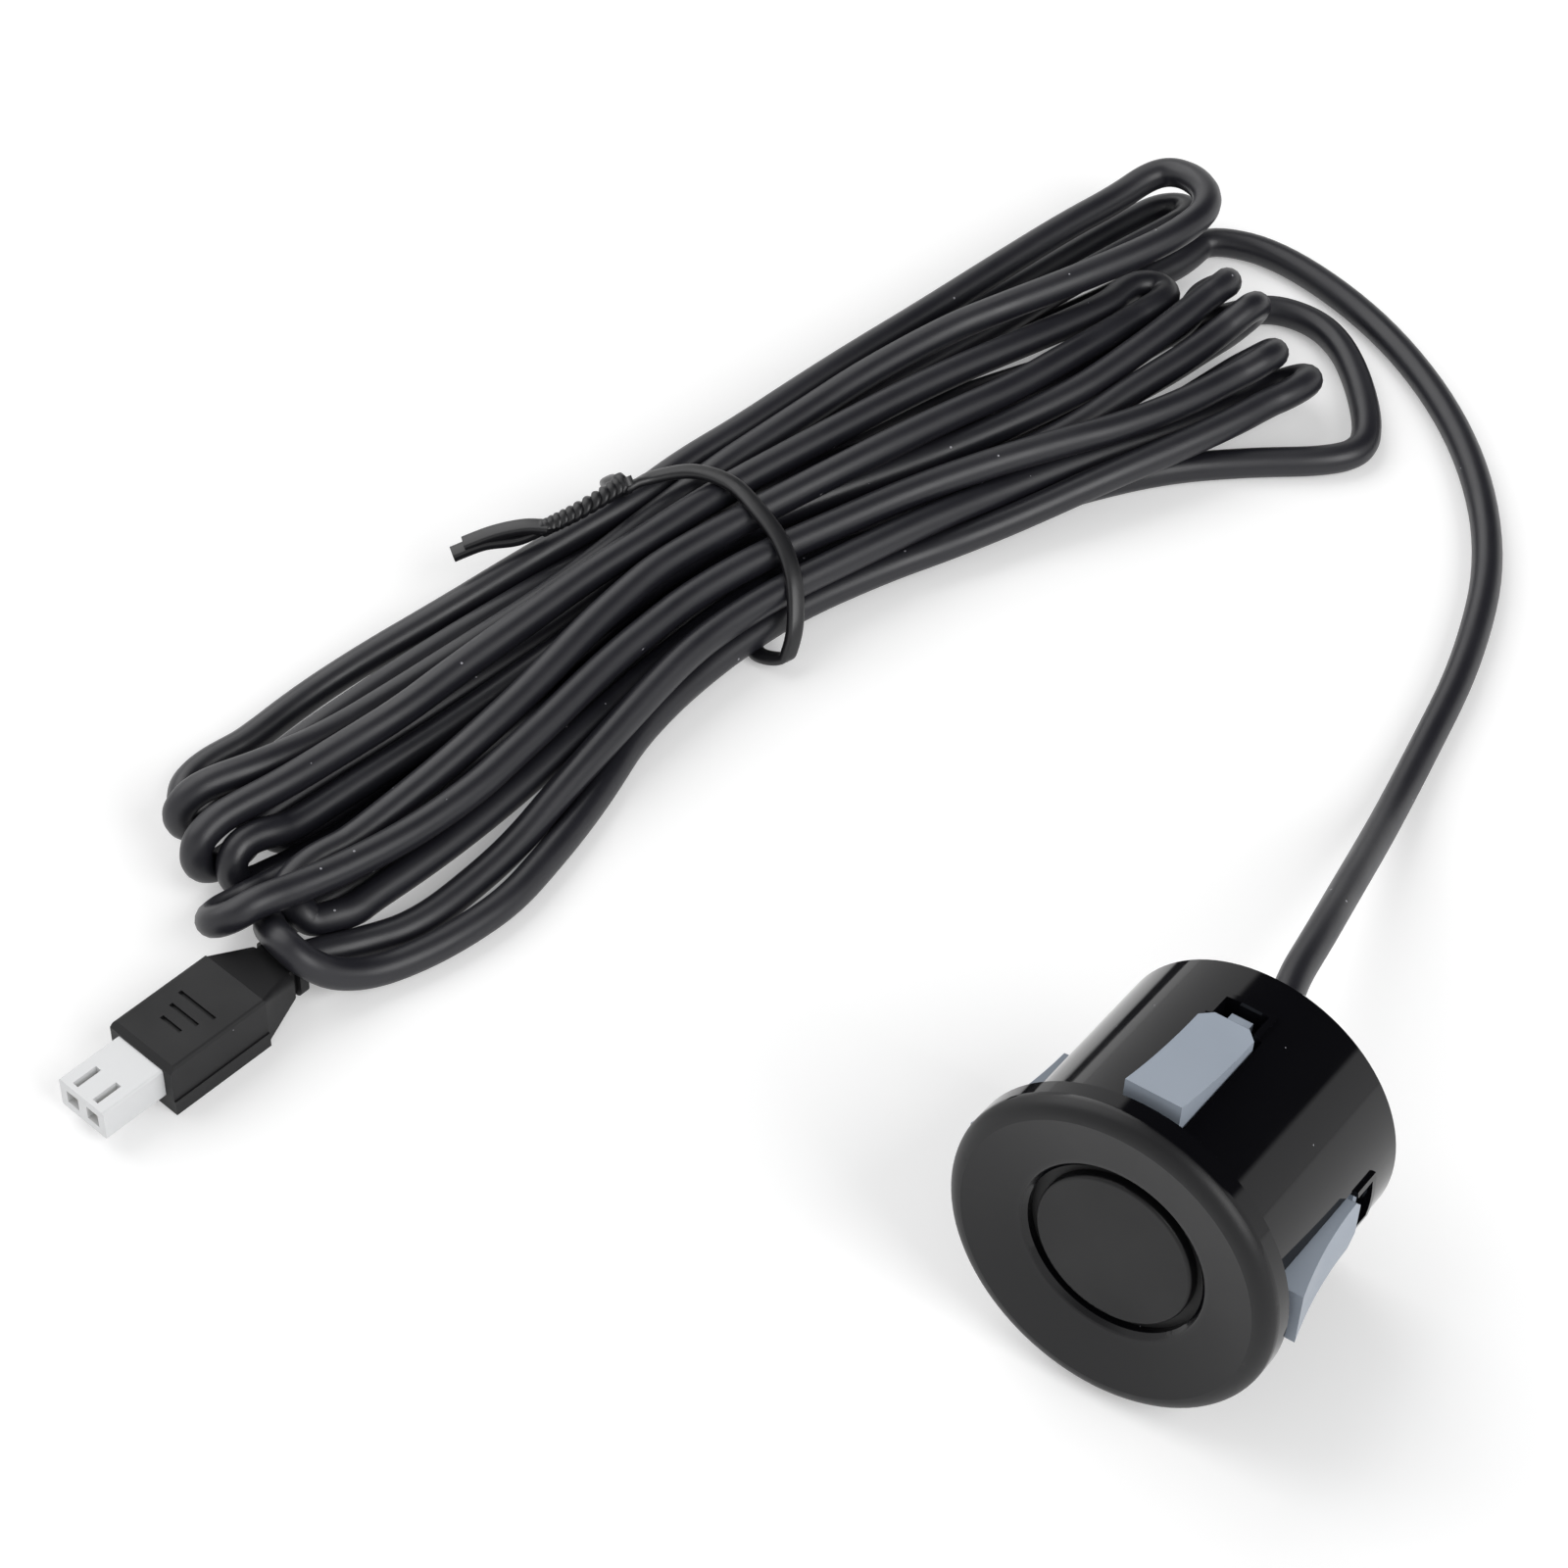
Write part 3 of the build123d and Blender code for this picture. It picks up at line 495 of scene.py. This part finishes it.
# PVC over a steel wire: a little glossier than the cable, slightly wavy over the wire
tie_pvc = finish("pvc_covered_wire", "#141417", 0.36, 0.6, 0.01, ior=1.53)
# moulded ABS from a polished mould: mirror-like black barrel; the mould's textured face comes out satin
abs_gloss = finish("gloss_abs", "#09090c", 0.08, 0.9, 0.0006, uneven=0.02, ior=1.42, fleck=0.05,
                   face_roughness=0.42)
# sprayed paint on the drawn aluminium cup: even satin black; its grain is about 0.05 mm, drawn at 0.12 mm
cup_paint = finish("satin_paint_on_aluminium", "#0a0a0c", 0.46, 0.12, 0.002, ior=1.4)
# moulded silicone rubber: dull soft black ring round the cup
silicone = finish("black_silicone", "#0f0f10", 0.55, 0.3, 0.003, ior=1.41)
# silver paste fired on piezo ceramic: pale warm grey, half matt; the paste's grain is about 0.01 mm, drawn at
# 0.05 mm
piezo_silver = finish("fired_silver_on_ceramic", "#d9d4c4", 0.35, 0.05, 0.002, ior=1.5)
# pressed wool felt: matt grey-beige with a fibrous bump
felt = finish("pressed_felt", "#b8b0a2", 0.9, 0.25, 0.05, ior=1.5)
# drawn and tinned copper strands: bright warm metal
tinned_copper = finish("tinned_copper", "#c8895f", 0.25, 0.1, 0.001, metallic=1.0)
# glass-cloth epoxy laminate with green solder mask: smooth, half gloss
epoxy_board = finish("glass_epoxy", "#2f6b40", 0.4, 0.3, 0.003, ior=1.55)
# poured polyurethane: black, glossy where it set level, with a slow ripple
polyurethane = finish("cast_polyurethane", "#151515", 0.3, 1.2, 0.01, ior=1.5)
# moulded thermoplastic rubber clips: cool grey, even satin
clip_plastic = finish("grey_tpe_satin", "#959eaa", 0.42, 0.2, 0.003, ior=1.5, shade=0.05)
# PVC overmoulded in a spark-eroded mould: fine even grain, dull black; the grain is about 0.05 mm, drawn at
# 0.14 mm
overmould_pvc = finish("spark_eroded_pvc", "#0e0e10", 0.58, 0.14, 0.006, ior=1.46, fleck=0.05)
# moulded natural nylon: milky white with a soft sheen
nylon = finish("natural_nylon", "#d9dadb", 0.34, 0.4, 0.002, ior=1.53, shade=0.02)
# stamped bronze, tinned: bright grey metal; the stamping lines are finer than 0.02 mm, drawn at 0.08 mm
tin_plate = finish("tinned_bronze", "#cfcbc2", 0.28, 0.08, 0.001, metallic=1.0)

# each node's finish; the solids that the cable and the tie stand for get theirs too
FINISHES = {
    "housing": abs_gloss, "transducer_cup": cup_paint, "isolation_ring": silicone, "piezo_disc": piezo_silver,
    "damping_pad": felt, "signal_wire": tinned_copper, "ground_wire": tinned_copper,
    "terminal_board": epoxy_board, "potting": polyurethane, "core_wire": tinned_copper,
    "shield_wire": tinned_copper, "clip_top": clip_plastic, "clip_left": clip_plastic,
    "clip_bottom": clip_plastic, "clip_right": clip_plastic, "lead_cable": jacket_pvc,
    "cable_hank": jacket_pvc, "plug_cable": jacket_pvc, "twist_tie": tie_pvc,
    "plug_overmould": overmould_pvc, "plug_housing": nylon, "contact_signal": tin_plate,
    "contact_ground": tin_plate, "plug_core_wire": tinned_copper, "plug_shield_wire": tinned_copper,
}
for name, material in FINISHES.items():
    nodes[name].data.materials.clear()
    nodes[name].data.materials.append(material)
curve.materials.append(jacket_pvc)
tie_mesh.materials.append(tie_pvc)


# table: matt white board, 3 m wide, lifted a little where it is seen, so that it shows white where nothing
# shades it
TABLE_HALF = 1.5
TABLE_WHITE = (0.8, 0.8, 0.8, 1)
TABLE_LIFT = 0.27
corners = [(-TABLE_HALF, -TABLE_HALF, 0), (TABLE_HALF, -TABLE_HALF, 0),
           (TABLE_HALF, TABLE_HALF, 0), (-TABLE_HALF, TABLE_HALF, 0)]
floor_mesh = bpy.data.meshes.new("table")
floor_mesh.from_pydata(corners, [], [(0, 1, 2, 3)])
table = bpy.data.objects.new("table", floor_mesh)
bpy.context.scene.collection.objects.link(table)
white = bpy.data.materials.new("white_table")
white.use_nodes = True
tree = white.node_tree
tree.nodes.clear()
path = tree.nodes.new("ShaderNodeLightPath")
seen = path.outputs["Is Camera Ray"]
for ray in ("Is Glossy Ray", "Is Transmission Ray"):
    seen = add(tree, "ShaderNodeMath", {"operation": "MAXIMUM"}, {0: seen, 1: path.outputs[ray]}).outputs[0]
lift = add(tree, "ShaderNodeMath", {"operation": "MULTIPLY"}, {0: seen, 1: TABLE_LIFT})
matt = add(tree, "ShaderNodeBsdfDiffuse", {}, {"Color": TABLE_WHITE})
glow = add(tree, "ShaderNodeEmission", {}, {"Strength": lift.outputs[0]})
both = add(tree, "ShaderNodeAddShader", {}, {0: matt.outputs[0], 1: glow.outputs[0]})
add(tree, "ShaderNodeOutputMaterial", {}, {"Surface": both.outputs[0]})
floor_mesh.materials.append(white)

# light: a white room whose walls are brighter than its ceiling, with a dark corner high up behind the sensor,
# and two soft boxes; the levels are strengths, the heights are the z of the direction looked in
WALL_LEVEL, CEILING_LEVEL = 0.86, 0.4
WALL_TOP, CEILING_EDGE = 0.5, 0.75
CORNER_WAY = (0.13, 0.753, 0.645)
CORNER_EDGE, CORNER_INSIDE = 0.825, 0.85
CORNER_SHADE = 0.04
room = bpy.data.worlds.new("studio")
bpy.context.scene.world = room
room.use_nodes = True
tree = room.node_tree
way = tree.nodes.new("ShaderNodeTexCoord").outputs["Generated"]
height = add(tree, "ShaderNodeSeparateXYZ", {}, {0: way})
walls = add(tree, "ShaderNodeMapRange", {"interpolation_type": "SMOOTHSTEP"}, {
    "Value": height.outputs["Z"], "From Min": WALL_TOP, "From Max": CEILING_EDGE,
    "To Min": WALL_LEVEL, "To Max": CEILING_LEVEL})
toward_corner = add(tree, "ShaderNodeVectorMath", {"operation": "DOT_PRODUCT"}, {0: way, 1: CORNER_WAY})
dimmed = add(tree, "ShaderNodeMapRange", {}, {
    "Value": toward_corner.outputs["Value"], "From Min": CORNER_EDGE, "From Max": CORNER_INSIDE,
    "To Min": 1.0, "To Max": CORNER_SHADE})
level = add(tree, "ShaderNodeMath", {"operation": "MULTIPLY"}, {0: walls.outputs[0], 1: dimmed.outputs[0]})
tree.links.new(level.outputs[0], tree.nodes["Background"].inputs["Strength"])
tree.nodes["Background"].inputs["Color"].default_value = (1, 1, 1, 1)

# where both soft boxes point, in metres
AIM = (-0.03, 0.03, 0)


def soft_box(name, at, wide, high, power):
    """A rectangular area lamp of that size in metres and power in watts, turned to face the object."""
    lamp = bpy.data.lights.new(name, "AREA")
    lamp.shape = "RECTANGLE"
    lamp.size = wide
    lamp.size_y = high
    lamp.energy = power
    box = bpy.data.objects.new(name, lamp)
    box.location = at
    box.rotation_euler = (Vector(AIM) - Vector(at)).to_track_quat("-Z", "Y").to_euler()
    bpy.context.scene.collection.objects.link(box)


soft_box("left_box", (-0.72, 0.12, 0.78), 1.2, 1.0, 6.0)
soft_box("right_box", (0.7, -0.1, 0.6), 0.5, 0.6, 4.2)

bpy.context.view_layer.update()
